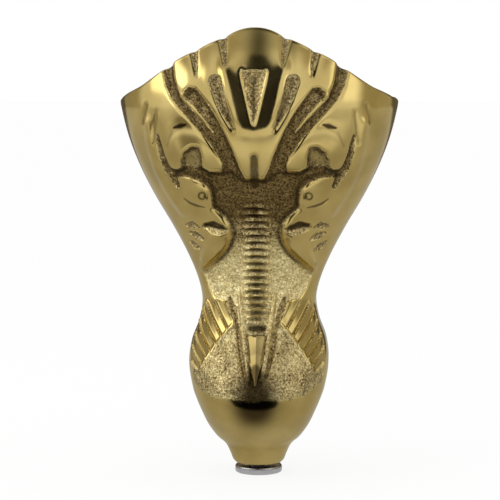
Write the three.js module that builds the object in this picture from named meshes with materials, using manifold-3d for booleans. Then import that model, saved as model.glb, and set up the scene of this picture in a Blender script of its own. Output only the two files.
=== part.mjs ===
// Claw and ball foot for a freestanding bath: one hollow-backed brass casting, carved on its front
// with a shell crest, a bird's head on each side, a ribbed spine and a claw over a ball, and a steel
// levelling screw with a round pad that threads up into the ball.
// Millimetres, +Z up. The front faces -Y. The origin is the floor point under the levelling pad.
import * as THREE from "three";
import Module from "manifold-3d";
import { mergeVertices } from "three/addons/utils/BufferGeometryUtils.js";

const wasm = await Module();
wasm.setup();

// Levelling screw
const PAD_RADIUS = 9.5;
const PAD_THICKNESS = 3;
const PAD_EDGE = 0.8;
const SCREW_RADIUS = 4.7;
const SCREW_LENGTH = 25;
const SCREW_CHAMFER = 0.8;
const PAD_GAP = 1.2; // from the pad up to the casting, with the screw nearly home
const THREAD_CLEARANCE = 0.3;

// Casting. Its outlines and carving are drawn for a foot 112 wide, 64 deep and 180 high, with the
// floor at height 0, and follow these three sizes.
const FOOT_WIDTH = 112;
const FOOT_DEPTH = 64;
const FOOT_HEIGHT = 180;
const across = FOOT_WIDTH / 112;
const deep = FOOT_DEPTH / 64;
const tall = FOOT_HEIGHT / 180;

const WALL = 5;
const CORE_FLOOR = 26; // the ball is solid below this height
const SEAT_BELOW_CREST = 34;
const SEAT_HEIGHT = FOOT_HEIGHT - SEAT_BELOW_CREST; // top face of the shelf that the bath stands on
const SHELF_THICKNESS = 6;
const SHELF_BACK = (FOOT_DEPTH * 5) / 16;
const STUD_HOLE_RADIUS = 4.5;
const STUD_HOLE_DEPTH_BEHIND_AXIS = -2;
const DRAWN_UNDERSIDE = 4.2;

// Smooth curve through [height, value] points.
function profile(points) {
  const last = points.length - 1;
  const slope = points.map((point, i) => {
    const a = points[Math.max(i - 1, 0)];
    const b = points[Math.min(i + 1, last)];
    return (b[1] - a[1]) / (b[0] - a[0]);
  });
  return (height) => {
    const h = Math.min(Math.max(height, points[0][0]), points[last][0]);
    let i = 0;
    while (i < last - 1 && h > points[i + 1][0]) i++;
    const [z0, v0] = points[i];
    const [z1, v1] = points[i + 1];
    const span = z1 - z0;
    const t = (h - z0) / span;
    return (
      (2 * t ** 3 - 3 * t ** 2 + 1) * v0 +
      (t ** 3 - 2 * t ** 2 + t) * span * slope[i] +
      (3 * t ** 2 - 2 * t ** 3) * v1 +
      (t ** 3 - t ** 2) * span * slope[i + 1]
    );
  };
}

// A curve drawn against height, at the foot's own sizes.
function bodyProfile(points, scale) {
  const drawn = profile(points);
  return (height) => scale * drawn(height / tall);
}

// The body: half its width, how far its front and its back stand from the screw's axis, where it is
// widest, and how square its back is, each against height.
const COLLAR = [[4.2, 9.3], [5.4, 10.4], [8, 11.4], [12.2, 13.6]];
const halfWidth = bodyProfile([
  ...COLLAR, [15, 16.8], [20, 20.4], [25, 22.8], [29.6, 24.8], [35, 26.7], [45, 28.3],
  [54, 27.2], [62, 24.3], [70, 23.1], [78, 24.6], [88, 28.7], [100, 35], [112, 42], [124, 48],
  [136, 52.6], [148, 55.6], [152, 56], [182, 56],
], across);
const frontDepth = bodyProfile([
  ...COLLAR, [15, 17], [20, 22.6], [25, 27.4], [30, 28.5], [35, 28.1], [40, 26.4], [46, 23],
  [58, 16.5], [70, 13.5], [80, 13.5], [92, 16.5], [104, 22], [116, 28.5],
  [128, 34.2], [140, 37.4], [150, 38], [160, 37], [170, 33], [182, 25],
], deep);
const backDepth = bodyProfile([
  ...COLLAR, [19, 19], [30, 24], [50, 24], [75, 22], [110, 23], [150, 26], [182, 26],
], deep);
const widestAt = bodyProfile([
  [4.2, 0], [15, 0], [30, 0], [50, 2], [70, 5], [95, 7], [120, 6], [150, 5], [182, 5],
], deep);
const backSquareness = bodyProfile([[4.2, 2], [16, 2], [34, 5], [60, 7], [182, 7]], 1);

// A quarter of the section at one height: points from the front centre line round to the widest
// point, each with its distance along the surface.
const QUARTER_STEPS = 48;
const quarters = new Map();
function frontQuarter(height, inset = 0) {
  const key = `${height} ${inset}`;
  if (quarters.has(key)) return quarters.get(key);
  const w = halfWidth(height) - inset;
  const f = frontDepth(height) - inset;
  const c = widestAt(height);
  const points = [];
  let run = 0;
  for (let i = 0; i <= QUARTER_STEPS; i++) {
    const t = (i / QUARTER_STEPS) * (Math.PI / 2);
    const point = { x: w * Math.sin(t), y: c - (c + f) * Math.cos(t) };
    if (i) run += Math.hypot(point.x - points[i - 1].x, point.y - points[i - 1].y);
    points.push({ ...point, run });
  }
  quarters.set(key, points);
  return points;
}

// The point that lies a share of the way along a quarter.
function along(quarter, share) {
  const run = share * quarter[QUARTER_STEPS].run;
  let i = 0;
  while (i < QUARTER_STEPS - 1 && run > quarter[i + 1].run) i++;
  const [a, b] = [quarter[i], quarter[i + 1]];
  const t = (run - a.run) / (b.run - a.run);
  return { x: a.x + (b.x - a.x) * t, y: a.y + (b.y - a.y) * t, run };
}

// The scalloped top edge against the distance round the surface from the centre line: a round
// centre lobe, two smaller lobes and a plain wing on each side.
const CREST = 179.9;
const NOTCH_AT = [11.7, 23.5, 35.2];
const NOTCH_HEIGHT = [176.9, 171.8, 165.7];
const wingEdge = profile([
  [35.2, 165.7], [40, 162.8], [45, 159.9], [50, 157.4], [55, 155.7], [71, 151.5],
]);
function edgeHeight(run) {
  const at = run / across;
  if (at < NOTCH_AT[0]) return tall * (CREST - (CREST - NOTCH_HEIGHT[0]) * (at / NOTCH_AT[0]) ** 2.2);
  if (at >= NOTCH_AT[2]) return tall * wingEdge(at);
  const i = at < NOTCH_AT[1] ? 0 : 1;
  const share = (at - NOTCH_AT[i]) / (NOTCH_AT[i + 1] - NOTCH_AT[i]);
  return tall * (NOTCH_HEIGHT[i] + (NOTCH_HEIGHT[i + 1] - NOTCH_HEIGHT[i]) * share);
}

// Carving. Every form is drawn on the unrolled front of the foot: a is the distance round the
// surface from the centre line, z the height. Both halves are alike.
const clamp01 = (x) => Math.min(Math.max(x, 0), 1);
const smooth = (x) => clamp01(x) ** 2 * (3 - 2 * clamp01(x));

// How far (a, z) is from a stroke's centre line, in shares of the stroke's own radius there.
function strokeShare(stroke, a, z) {
  let least = Infinity;
  for (let i = 0; i < stroke.length - 1; i++) {
    const [a0, z0, r0] = stroke[i];
    const [a1, z1, r1] = stroke[i + 1];
    const [da, dz] = [a1 - a0, z1 - z0];
    const t = clamp01(((a - a0) * da + (z - z0) * dz) / (da * da + dz * dz));
    const gap = Math.hypot(a - a0 - da * t, z - z0 - dz * t);
    least = Math.min(least, gap / (r0 + (r1 - r0) * t));
  }
  return least;
}
const round = (share) => Math.max(1 - share * share, 0);
const vee = (share) => Math.max(1 - share, 0);
const dome = (share) => smooth(1 - share);

// Distance inside an outline, negative outside it.
function inside(outline, a, z) {
  let least = Infinity;
  let odd = false;
  for (let i = 0, j = outline.length - 1; i < outline.length; j = i++) {
    const [a0, z0] = outline[j];
    const [a1, z1] = outline[i];
    const [da, dz] = [a1 - a0, z1 - z0];
    const t = clamp01(((a - a0) * da + (z - z0) * dz) / (da * da + dz * dz));
    least = Math.min(least, Math.hypot(a - a0 - da * t, z - z0 - dz * t));
    if (z0 > z !== z1 > z && a < a0 + ((z - z0) / dz) * da) odd = !odd;
  }
  return odd ? least : -least;
}

// Shell crest: lobes, the notches between them, the petal at its middle and the flutes.
const LOBES = [
  { form: [[0, 190, 12], [0, 172, 12]], height: 0.9 },
  { form: [[18.5, 178, 6.3], [16.8, 165, 6], [13, 150, 4]], height: 0.5 },
  { form: [[31, 172, 6.3], [27.5, 160, 6], [22, 150, 4]], height: 0.6 },
];
const NOTCHES = [
  { form: [[12.4, 178, 2.3], [11, 165, 0.3]], depth: 1.2 },
  { form: [[24.2, 173.5, 2.1], [22.4, 161, 0.3]], depth: 1.1 },
];
const FLUTES = [
  { form: [[15, 159.3, 2.9], [13, 152.5, 2.3], [10.5, 146.5, 1.5], [7.8, 140.7, 0.3]], depth: 2 },
];
const CENTRE_FLUTE = [[-5.4, 164], [5.4, 164], [0.2, 142], [-0.2, 142]];
const CENTRE_FLUTE_SLOPE = 0.9;
const PETAL = [
  [-11, 190], [-11, 165], [-7.8, 158], [-6.9, 150], [-6.4, 144], [-4.5, 141], [0, 140.2],
  [4.5, 141], [6.4, 144], [6.9, 150], [7.8, 158], [11, 165], [11, 190],
];
const PETAL_HEIGHT = 0.3;
const PETAL_FLATNESS = 0.0072; // how much the petal flattens the round body, per distance squared
const CHANNEL = [
  [3.8, 120.5], [6.2, 125], [7.9, 130], [10, 135], [12.3, 140], [15, 145], [18.3, 150],
  [21.3, 154], [23.3, 156.4], [25.6, 156.6], [27.3, 155.2], [28.5, 152.3], [30.2, 154],
  [31.5, 156.5], [32.7, 160], [33.7, 168], [37.8, 168], [37.4, 163], [35.9, 157.5], [33.2, 152.8],
  [30, 149.3], [25.8, 145], [22.3, 141.4], [18.8, 138], [15.6, 134], [13.2, 130], [12, 127],
  [12.6, 123.4], [9, 119],
];
const CHANNEL_DEPTH = 2;
const LEAF_CUT = { form: [[0, 130, 2.4], [0, 118.5, 2.4]], depth: 1.1 };

// Sunk ground between the heads, down the spine and under the claw.
const GROUND = [
  [-6, 119.8], [4.5, 120.6], [9.5, 124.2], [13, 123.6], [18, 123.6], [21.4, 125.6], [21.2, 130],
  [22.2, 133.4], [25, 133.6], [28, 131.3], [29.5, 128], [29.6, 125.4], [32, 124.1], [35.4, 124.2],
  [35, 121.3], [31, 122.2], [27, 122.1], [22, 121], [19.3, 119.2], [18.1, 117], [17.6, 113],
  [17.5, 109], [15.5, 107.2], [12.8, 105.3], [10.6, 102.5], [9.9, 99.5], [10, 97], [11, 94],
  [13, 91], [16, 88.3], [20, 85.3], [25.5, 82], [22, 76], [18, 71.8], [12, 71.5], [8.6, 66],
  [8.6, 62.5], [14, 57], [19, 50.5], [23.5, 46], [26, 41], [22, 33], [-6, 31],
];
const groundDepth = profile([
  [30, 0], [38, 0.2], [60, 0.5], [72, 0.6], [84, 1.2], [95, 1.6], [105, 1.8], [135, 1.8],
]);
const CRESCENT = {
  form: [[41, 136, 0.8], [39.8, 130, 1.5], [37.9, 126, 1.8], [35.8, 122.8, 2], [33.4, 118.6, 1.4]],
  depth: 1.3,
};

// Birds' heads: brow, skull, beak, the ridge outside them and the cuts on them.
const BULGES = [
  { form: [[22, 131, 11], [30, 130, 11]], height: 1.7 },
  { form: [[23, 116, 8.5], [27, 113, 8.5]], height: 2 },
  { form: [[13.5, 100, 4.5], [17, 94, 6], [21, 88, 5], [25.5, 82.5, 1]], height: 2.2 },
  { form: [[32, 108, 4], [39, 117, 4], [43.5, 125, 4], [46, 135, 4], [47, 143, 3]], height: 1 },
  { form: [[14, 45.5, 11], [15, 41, 11]], height: 1.2 },
];
const ARCH = {
  form: [
    [18, 139, 1.5], [23, 141.2, 2.6], [29, 142, 3.4], [33, 140.3, 3], [36.5, 136.5, 2.2],
    [38.5, 132, 1.2],
  ],
  depth: 0.6,
};
const CUTS = [
  { form: [[10.4, 101, 0.8], [16.5, 101.4, 2.4], [22.6, 101.4, 0.8]], depth: 1.1 },
  { form: [[24.6, 100.6, 0.5], [27.5, 101.2, 1.4], [30.6, 100.6, 0.5]], depth: 0.8 },
  { form: [[22.6, 96.4, 0.5], [26, 97.6, 1.5], [29.4, 98.6, 0.5]], depth: 0.8 },
  { form: [[25.4, 92.4, 0.5], [28.4, 93.8, 1.4], [31.6, 95.2, 0.5]], depth: 0.7 },
  { form: [[29.5, 113.6, 0.4], [26.5, 111.7, 1], [23.5, 110.5, 1], [21, 110, 0.4]], depth: 0.8 },
  { form: [[47, 149.8, 1.2], [50, 143, 0.9]], depth: 0.5 },
  { form: [[41.6, 147, 0.8], [42.6, 141, 1.5], [43.8, 135, 0.9]], depth: 0.6 },
  { form: [[8.4, 64.4, 0.8], [10, 68, 1.9], [11.6, 72, 1]], depth: 1 },
  { form: [[9, 66, 0.7], [7.6, 58, 1.1], [6.2, 50, 1.1], [4.2, 42, 0.7]], depth: 0.9 },
  { form: [[-2, 60.4, 2.2], [2, 60.4, 2.2]], depth: 1 },
];
const EYE = { a: 21, z: 115, radius: 1.3, depth: 0.6 };

// Spine, its rails, and the claw below it.
const SPINE_TOP = 113;
const SPINE_FOOT = 62.6;
const RIB_COUNT = 18;
const RIB_HEIGHT = 1.4;
const RIB_ARCH = 0.035;
const SPINE = { form: [[0, 112, 6], [0, 100, 6.2], [0, 76, 6], [0, 62, 4.8]], height: 1.2 };
const RAIL = {
  form: [[7.4, 74, 0.5], [6, 66, 1.4], [4.9, 58, 1.7], [3.8, 50, 1.5], [2.4, 41, 0.9]],
  height: 1.6,
};
const CLAW = [[-3.9, 58.4], [3.9, 58.4], [3.1, 50], [0, 38], [-3.1, 50]];
const CLAW_SLOPE = 0.45;
const CLAW_HEIGHT = 2.4;

// Fan of feathers beside the ball: each lies like a shingle, highest on the side of the spine.
const FAN = [
  [9.2, 62.6], [14, 57], [19, 50.5], [23.5, 46], [27, 42.5], [33, 44], [34.5, 50], [32.5, 58],
  [30, 66], [26, 71], [19, 72], [12.6, 71.5],
];
const FAN_ROOT = { from: [9.2, 62.6], to: [27, 42.5] };
const FEATHERS = 7;
const FEATHER_HEIGHT = 1.2;
const FEATHER_ANGLE = { first: 1, last: 0.45 }; // radians above level

// Which feather (a, z) lies on, counted from the spine, as a fraction.
function featherAt(a, z) {
  const [a0, z0] = FAN_ROOT.from;
  const [da, dz] = [FAN_ROOT.to[0] - a0, FAN_ROOT.to[1] - z0];
  let share = 0.5;
  for (let i = 0; i < 4; i++) {
    const angle = FEATHER_ANGLE.first + (FEATHER_ANGLE.last - FEATHER_ANGLE.first) * share;
    const [c, s] = [Math.cos(angle), Math.sin(angle)];
    const off = (a - a0 - da * share) * s - (z - z0 - dz * share) * c;
    share = clamp01(share + off / (da * s - dz * c));
  }
  return share * FEATHERS;
}

// Height of the carving over the plain body.
function carving(run, z) {
  const a = Math.abs(run);
  let h = 0;
  for (const lobe of LOBES) h = Math.max(h, lobe.height * round(strokeShare(lobe.form, a, z)));
  for (const bulge of BULGES) h += bulge.height * dome(strokeShare(bulge.form, a, z) * 0.9);
  const flat = PETAL_FLATNESS * a * a * smooth((170 - z) / 8);
  h += (PETAL_HEIGHT + flat) * smooth(inside(PETAL, run, z) / 1.8 + 1);
  h -= ARCH.depth * dome(strokeShare(ARCH.form, a, z));
  const sunk = smooth(inside(GROUND, a, z) / 1.8 + 0.5);
  h = h * (1 - sunk * smooth((z - 60) / 20)) - groundDepth(z) * sunk;
  const channel = inside(CHANNEL, a, z);
  const lowered = smooth(channel / 1.3 + 0.45);
  if (channel > -1) h = Math.min(h, h * (1 - lowered) - CHANNEL_DEPTH * lowered);
  const spine = clamp01(strokeShare(SPINE.form, a, z));
  const ribs = smooth((SPINE_TOP - z) / 4) * smooth((z - SPINE_FOOT) / 2);
  const turn = ((z + RIB_ARCH * a * a - SPINE_FOOT) / (SPINE_TOP - SPINE_FOOT)) * RIB_COUNT;
  const rib = RIB_HEIGHT * ribs * (((1 + Math.cos(2 * Math.PI * turn)) / 2) ** 1.7 - 0.4);
  if (z < SPINE_TOP + 5) h += (SPINE.height + rib * (1 - spine ** 2)) * (1 - spine ** 4);
  h += RAIL.height * round(strokeShare(RAIL.form, a, z));
  const claw = inside(CLAW, a, z);
  if (claw > 0) h += Math.min(claw * CLAW_SLOPE + 0.5, CLAW_HEIGHT);
  const fan = inside(FAN, a, z);
  if (fan > 0) h += FEATHER_HEIGHT * (0.5 - (featherAt(a, z) % 1)) * smooth(fan / 1.5);
  let sink = CENTRE_FLUTE_SLOPE * Math.max(inside(CENTRE_FLUTE, a, z), 0);
  for (const groove of [...FLUTES, ...NOTCHES, LEAF_CUT])
    sink = Math.max(sink, groove.depth * vee(strokeShare(groove.form, a, z)));
  for (const cut of [...CUTS, CRESCENT])
    sink = Math.max(sink, cut.depth * dome(strokeShare(cut.form, a, z)));
  const eye = Math.hypot(a - EYE.a, z - EYE.z) / EYE.radius;
  return h - Math.max(sink, EYE.depth * round(Math.abs(eye - 1) * 2));
}

// A closed solid through rings of points that all have as many points, counted the same way round.
// Each cell is split along its shorter diagonal, so both halves of the carving come out alike.
function loft(rings) {
  const count = rings[0].length;
  const corners = rings.flat();
  const faces = [];
  for (let r = 0; r < rings.length - 1; r++)
    for (let i = 0; i < count; i++) {
      const [a, b] = [r * count + i, r * count + ((i + 1) % count)];
      const [c, d] = [b + count, a + count];
      const split = corners[a].distanceTo(corners[c]) <= corners[b].distanceTo(corners[d]);
      if (split) faces.push(a, b, c, a, c, d);
      else faces.push(a, b, d, b, c, d);
    }
  for (const [ring, up] of [[0, false], [rings.length - 1, true]]) {
    const centre = corners.length;
    const sum = rings[ring].reduce((t, p) => t.add(p), new THREE.Vector3());
    corners.push(sum.divideScalar(count));
    for (let i = 0; i < count; i++) {
      const [a, b] = [ring * count + i, ring * count + ((i + 1) % count)];
      if (up) faces.push(a, b, centre);
      else faces.push(b, a, centre);
    }
  }
  const geometry = new THREE.BufferGeometry().setFromPoints(corners);
  geometry.setIndex(faces);
  return geometry;
}

// One closed ring of the body: shares of the front quarter on each side, then the squared back.
function ring(heightAt, frontShares, backSteps, inset, back, carve) {
  const half = [];
  for (const share of frontShares) {
    const height = heightAt(share);
    const quarter = frontQuarter(height, inset);
    const point = along(quarter, share);
    half.push({ ...point, height });
  }
  const side = [];
  for (let i = 1; i <= backSteps; i++) {
    const t = (i / backSteps) * (Math.PI / 2);
    const height = heightAt(1);
    const power = 2 / backSquareness(height);
    const c = widestAt(height);
    side.push({
      x: (halfWidth(height) - inset) * Math.cos(t) ** power,
      y: c + (back(height) - c) * Math.sin(t) ** power,
      height,
    });
  }
  const toPoint = (p, sign) => {
    const point = new THREE.Vector3(sign * p.x, p.y, p.height);
    if (!carve || p.run === undefined) return point;
    return point.add(outward(p, sign).multiplyScalar(deep * carve(p.run / across, p.height / tall)));
  };
  const right = [...half, ...side];
  const left = right.slice(1, -1).reverse();
  return [...right.map((p) => toPoint(p, 1)), ...left.map((p) => toPoint(p, -1))];
}

// The plain body's outward direction at a point of its front.
function outward(p, sign) {
  const step = 0.5;
  const share = p.run / frontQuarter(p.height)[QUARTER_STEPS].run;
  const above = along(frontQuarter(p.height + step), share);
  const below = along(frontQuarter(p.height - step), share);
  const before = along(frontQuarter(p.height), Math.max(share - 0.02, 0));
  const after = along(frontQuarter(p.height), Math.min(share + 0.02, 1));
  const round = new THREE.Vector3(sign * (after.x - before.x), after.y - before.y, 0);
  const up = new THREE.Vector3(sign * (above.x - below.x), above.y - below.y, 2 * step);
  return round.cross(up).multiplyScalar(sign).normalize();
}

const FRONT_COLUMNS = 26;
const BACK_COLUMNS = 4;
const frontShares = Array.from({ length: FRONT_COLUMNS + 1 }, (_, i) => {
  const t = i / FRONT_COLUMNS;
  return 0.72 * t + 0.28 * t * t;
});

// Heights of the body's rows: two to each rib of the spine, wider apart elsewhere. From the last
// of them the rows fan out to the scalloped edge.
const FAN_OUT = 119;
function rowHeights() {
  const heights = [];
  const run = (from, to, count) => {
    for (let i = 0; i < count; i++) heights.push(tall * (from + ((to - from) * i) / count));
  };
  run(DRAWN_UNDERSIDE, 16, 5);
  run(16, 40, 8);
  run(40, SPINE_FOOT, 10);
  run(SPINE_FOOT, SPINE_TOP, 2 * RIB_COUNT);
  run(SPINE_TOP, FAN_OUT, 2);
  return heights;
}
const CREST_ROWS = 20;

function bodyRings(carve) {
  const rings = rowHeights().map((height) =>
    ring(() => height, frontShares, BACK_COLUMNS, 0, backDepth, carve),
  );
  const reach = frontQuarter(SEAT_HEIGHT)[QUARTER_STEPS].run;
  const foot = tall * FAN_OUT;
  for (let i = 0; i <= CREST_ROWS; i++) {
    const rise = (share) => foot + ((edgeHeight(share * reach) - foot) * i) / CREST_ROWS;
    rings.push(ring(rise, frontShares, BACK_COLUMNS, 0, backDepth, carve));
  }
  return rings;
}

const CLEAR = 20; // how far a cutter runs past what it cuts
const CORE_SHARES = [0, 0.15, 0.3, 0.45, 0.6, 0.75, 0.88, 1];
const CORE_ROWS = 22;
function core(inset, from, to) {
  const rings = [];
  for (let i = 0; i <= CORE_ROWS; i++) {
    const height = from + ((to - from) * i) / CORE_ROWS;
    rings.push(ring(() => height, CORE_SHARES, 3, inset, (h) => backDepth(h) + CLEAR, null));
  }
  return loft(rings);
}

function solid(geometry) {
  geometry.deleteAttribute("normal");
  geometry.deleteAttribute("uv");
  const merged = mergeVertices(geometry, 1e-4);
  return new wasm.Manifold(
    new wasm.Mesh({
      numProp: 3,
      vertProperties: merged.attributes.position.array,
      triVerts: new Uint32Array(merged.index.array),
    }),
  );
}

function geometryOf(manifold) {
  const mesh = manifold.getMesh();
  const geometry = new THREE.BufferGeometry();
  geometry.setAttribute("position", new THREE.BufferAttribute(mesh.vertProperties, 3));
  geometry.setIndex(new THREE.BufferAttribute(mesh.triVerts, 1));
  geometry.computeVertexNormals();
  return geometry;
}

function box(width, depth, height, x, y, z) {
  return solid(new THREE.BoxGeometry(width, depth, height).translate(x, y, z));
}

function rod(radius, from, to, y, sides = 32) {
  const cylinder = new THREE.CylinderGeometry(radius, radius, to - from, sides);
  return solid(cylinder.rotateX(Math.PI / 2).translate(0, y, (from + to) / 2));
}

function makeCasting() {
  const body = solid(loft(bodyRings(carving)));
  const hollow = solid(core(WALL, CORE_FLOOR, FOOT_HEIGHT + CLEAR));
  const shelfMiddle = SEAT_HEIGHT - SHELF_THICKNESS / 2;
  const slab = box(
    FOOT_WIDTH + CLEAR, FOOT_DEPTH + CLEAR, SHELF_THICKNESS,
    0, SHELF_BACK - (FOOT_DEPTH + CLEAR) / 2, shelfMiddle,
  );
  const shelf = solid(core(WALL / 2, CORE_FLOOR, FOOT_HEIGHT)).intersect(slab);
  const studHole = rod(
    STUD_HOLE_RADIUS, SEAT_HEIGHT - SHELF_THICKNESS - 2, SEAT_HEIGHT + 2, STUD_HOLE_DEPTH_BEHIND_AXIS,
  );
  const bore = rod(SCREW_RADIUS + THREAD_CLEARANCE, tall * DRAWN_UNDERSIDE - 2, CORE_FLOOR + 2, 0);
  const casting = body.subtract(hollow).add(shelf).subtract(studHole).subtract(bore);
  const brass = new THREE.MeshStandardMaterial({ color: 0xb89a58, roughness: 0.25, metalness: 1 });
  const mesh = new THREE.Mesh(geometryOf(casting), brass);
  mesh.name = "foot_casting";
  mesh.position.z = PAD_THICKNESS + PAD_GAP - tall * DRAWN_UNDERSIDE;
  return mesh;
}

function makeLevellingScrew() {
  const top = PAD_THICKNESS + SCREW_LENGTH;
  const outline = [
    [0, 0],
    [PAD_RADIUS - PAD_EDGE, 0],
    [PAD_RADIUS - 0.3 * PAD_EDGE, 0.3 * PAD_EDGE],
    [PAD_RADIUS, PAD_EDGE],
    [PAD_RADIUS, PAD_THICKNESS - PAD_EDGE],
    [PAD_RADIUS - 0.3 * PAD_EDGE, PAD_THICKNESS - 0.3 * PAD_EDGE],
    [PAD_RADIUS - PAD_EDGE, PAD_THICKNESS],
    [SCREW_RADIUS, PAD_THICKNESS],
    [SCREW_RADIUS, top - SCREW_CHAMFER],
    [SCREW_RADIUS - SCREW_CHAMFER, top],
    [0, top],
  ].map(([radius, height]) => new THREE.Vector2(radius, height));
  const steel = new THREE.MeshStandardMaterial({ color: 0x8f9096, roughness: 0.35, metalness: 1 });
  const mesh = new THREE.Mesh(new THREE.LatheGeometry(outline, 32).rotateX(Math.PI / 2), steel);
  mesh.name = "levelling_screw";
  return mesh;
}

const foot = new THREE.Group();
foot.add(makeCasting(), makeLevellingScrew());

export default foot;
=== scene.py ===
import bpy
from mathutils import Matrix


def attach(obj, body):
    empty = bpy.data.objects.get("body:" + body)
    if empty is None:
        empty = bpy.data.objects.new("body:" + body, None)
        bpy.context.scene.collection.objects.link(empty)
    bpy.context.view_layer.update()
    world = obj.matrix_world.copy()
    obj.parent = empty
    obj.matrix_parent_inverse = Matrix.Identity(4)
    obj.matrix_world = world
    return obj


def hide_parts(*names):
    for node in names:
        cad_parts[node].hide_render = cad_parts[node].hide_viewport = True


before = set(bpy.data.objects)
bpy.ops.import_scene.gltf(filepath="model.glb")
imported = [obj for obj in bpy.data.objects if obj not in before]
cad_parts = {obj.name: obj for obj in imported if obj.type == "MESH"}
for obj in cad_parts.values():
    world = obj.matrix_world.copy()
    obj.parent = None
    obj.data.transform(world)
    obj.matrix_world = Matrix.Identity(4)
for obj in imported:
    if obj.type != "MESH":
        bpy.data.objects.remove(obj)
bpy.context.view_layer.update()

import math
import bpy
import numpy as np
from mathutils import Matrix, Vector

# The foot's sizes are in millimetres, and the studio's are in metres.
MM = 0.001

# Camera.
# A long lens looks a little down on the front of the foot, from about a metre away.
AIM = Vector((0, -8, 90)) * MM
CAMERA_DISTANCE = 0.9
CAMERA_ELEVATION = math.radians(6)
CAMERA_AZIMUTH = math.radians(3)
VIEW_WIDTH = 0.2 # across the picture, at the foot
AIM_PIXEL = (257.6, 253.4)
PICTURE = 500

camera_data = bpy.data.cameras.new("camera")
camera_data.sensor_width = 36
camera_data.lens = 36 * CAMERA_DISTANCE / VIEW_WIDTH
camera_data.shift_x = (PICTURE / 2 - AIM_PIXEL[0]) / PICTURE
camera_data.shift_y = (AIM_PIXEL[1] - PICTURE / 2) / PICTURE
camera = bpy.data.objects.new("camera", camera_data)
tilt = math.pi / 2 - CAMERA_ELEVATION
camera.matrix_world = (
    Matrix.Translation(AIM)
    @ Matrix.Rotation(CAMERA_AZIMUTH, 4, "Z")
    @ Matrix.Rotation(tilt, 4, "X")
    @ Matrix.Translation((0, 0, CAMERA_DISTANCE))
)
bpy.context.scene.collection.objects.link(camera)
bpy.context.scene.camera = camera


# Foot casting.
# One brass sand casting, open at the back: a shell crest over two birds' heads, a ribbed spine
# down to a claw, and the ball. The raised forms are polished and the sunk grounds left as cast.
UNDERSIDE = 4.2
FAN_OUT = 119
WALL = 5
CORE_FLOOR = 26
SEAT_HEIGHT = 146
SHELF_THICKNESS = 6
SHELF_BACK = 20
SLAB_WIDTH, SLAB_DEPTH = 160, 80
STUD_HOLE_RADIUS = 4.5
STUD_HOLE_FORWARD = 2
BORE_RADIUS = 5
DRILL_OVERRUN = 2


def profile(points):
    at, value = np.array(points, float).T
    slope = np.gradient(value, at)
    slope[1:-1] = (value[2:] - value[:-2]) / (at[2:] - at[:-2])
    slope[0] = (value[1] - value[0]) / (at[1] - at[0])
    slope[-1] = (value[-1] - value[-2]) / (at[-1] - at[-2])

    def curve(x):
        x = np.clip(x, at[0], at[-1])
        i = np.clip(np.searchsorted(at, x, "right") - 1, 0, len(at) - 2)
        span = at[i + 1] - at[i]
        t = (x - at[i]) / span
        return (
            (2 * t**3 - 3 * t**2 + 1) * value[i]
            + (t**3 - 2 * t**2 + t) * span * slope[i]
            + (3 * t**2 - 2 * t**3) * value[i + 1]
            + (t**3 - t**2) * span * slope[i + 1]
        )

    return curve


half_width = profile([
    (4.2, 9.3), (5.4, 10.4), (8, 11.4), (12.2, 13.6), (15, 16.8), (20, 20.4), (25, 22.8),
    (29.6, 24.8), (35, 26.7), (45, 28.3), (54, 27.2), (62, 24.3), (70, 23.1), (78, 24.6),
    (88, 28.7), (100, 35), (112, 42), (124, 48), (136, 52.6), (148, 55.6), (152, 56), (182, 56),
])
front_depth = profile([
    (4.2, 9.3), (5.4, 10.4), (8, 11.4), (12.6, 14.1), (15, 16.9), (20, 22.6), (25, 27.4),
    (30, 28.5), (35, 28.1), (40, 26.4), (46, 23), (58, 16.5), (70, 13.5), (80, 13.5), (92, 16.5),
    (104, 22), (116, 28.5), (128, 34.2), (140, 37.4), (150, 38), (160, 37), (170, 33), (182, 25),
])
back_depth = profile([
    (4.2, 9.3), (5.4, 10.4), (8, 11.4), (12.6, 14.1), (19, 19), (30, 24), (50, 24), (75, 22),
    (110, 23), (150, 26), (182, 26),
])
widest_at = profile([
    (4.2, 0), (15, 0), (30, 0), (50, 2), (70, 5), (95, 7), (120, 6), (150, 5), (182, 5),
])
back_squareness = profile([(4.2, 2), (16, 2), (34, 5), (60, 7), (182, 7)])
top_edge = profile([(35.2, 165.7), (40, 162.8), (45, 159.9), (50, 157.4), (55, 155.7), (71, 151.5)])

CREST_HEIGHT = 179.9
NOTCH_AT = (11.7, 23.5, 35.2)
NOTCH_HEIGHT = (176.9, 171.8, 165.7)
LOBE_RISE = 0.3


def edge_height(run):
    middle = CREST_HEIGHT - (CREST_HEIGHT - NOTCH_HEIGHT[0]) * (run / NOTCH_AT[0]) ** 2.2
    height = np.where(run < NOTCH_AT[0], middle, top_edge(run))
    for i in range(2):
        t = (run - NOTCH_AT[i]) / (NOTCH_AT[i + 1] - NOTCH_AT[i])
        lobe = NOTCH_HEIGHT[i] + (NOTCH_HEIGHT[i + 1] - NOTCH_HEIGHT[i]) * t
        height = np.where((t >= 0) & (t < 1), lobe + LOBE_RISE * np.sin(np.pi * t), height)
    return height


QUARTER_STEPS = 64


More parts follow.
